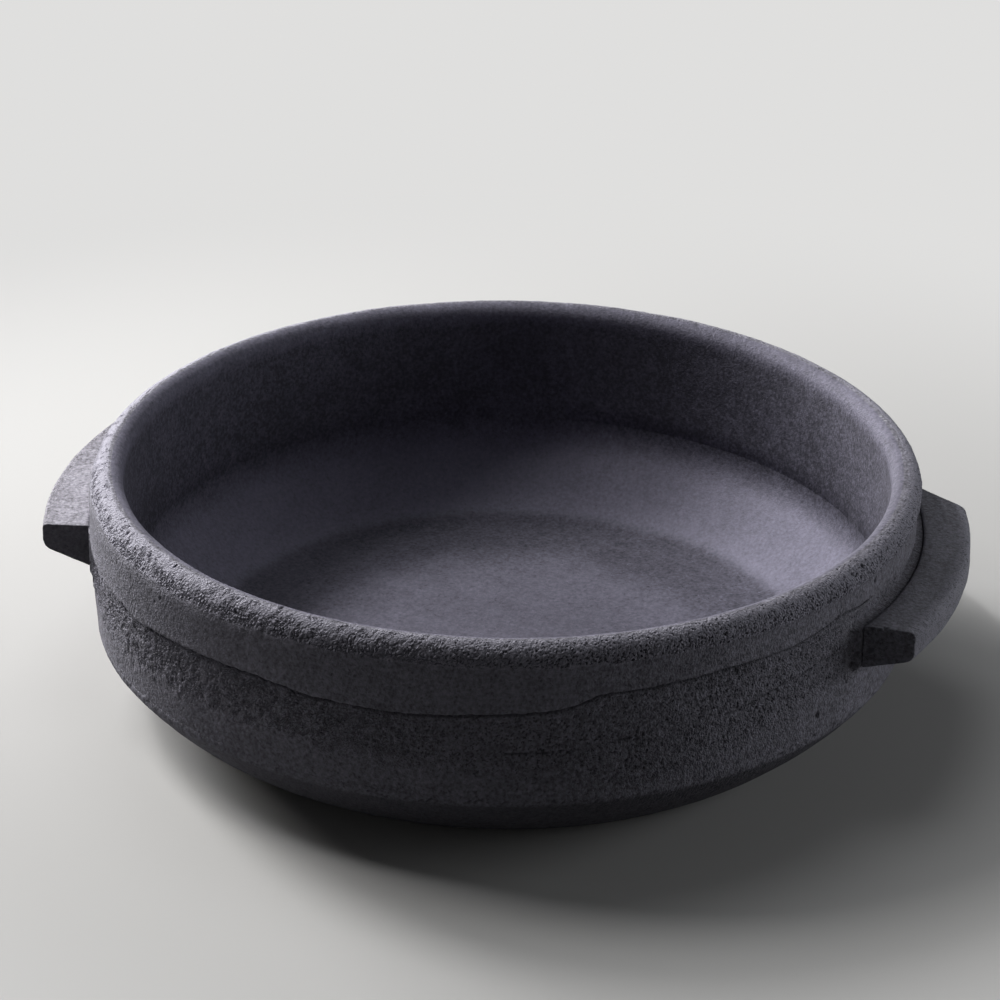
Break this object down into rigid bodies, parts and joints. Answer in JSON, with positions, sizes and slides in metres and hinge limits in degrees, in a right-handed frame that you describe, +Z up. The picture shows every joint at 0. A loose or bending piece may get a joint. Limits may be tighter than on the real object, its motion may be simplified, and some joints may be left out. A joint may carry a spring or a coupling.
{
  "type": "earthenware stew pot",
  "caption": "Shallow round stew pot of unglazed dark grey earthenware, with a rolled scraped rim, a stepped wall, a sloped floor edge and solid lug handles.",
  "frame": {"origin": "centre of the foot, on the surface that the pot stands on", "axes": "+Z up along the pot's axis, +X towards the right lug, -Y towards the front"},
  "size_m": [0.2496, 0.2222, 0.065],
  "materials": {
    "inside_clay": "matte, smoothed, fine mottled speckle",
    "rough_clay": "matte, scraped and pitted",
    "smooth_clay": "matte, wiped smooth with fine upright scratches",
    "lug_clay": "matte, fine grained, grainy on its rounded edge",
    "luting_clay": "matte, smeared"
  },
  "bodies": {
    "root": {"floor_slab": "inside_clay", "base_ring": "smooth_clay", "lower_wall": "rough_clay", "upper_wall": "smooth_clay", "rim_coil": "rough_clay", "right_lug": "lug_clay", "right_lug_clay": "luting_clay", "left_lug": "lug_clay", "left_lug_clay": "luting_clay"}
  },
  "joints": []
}
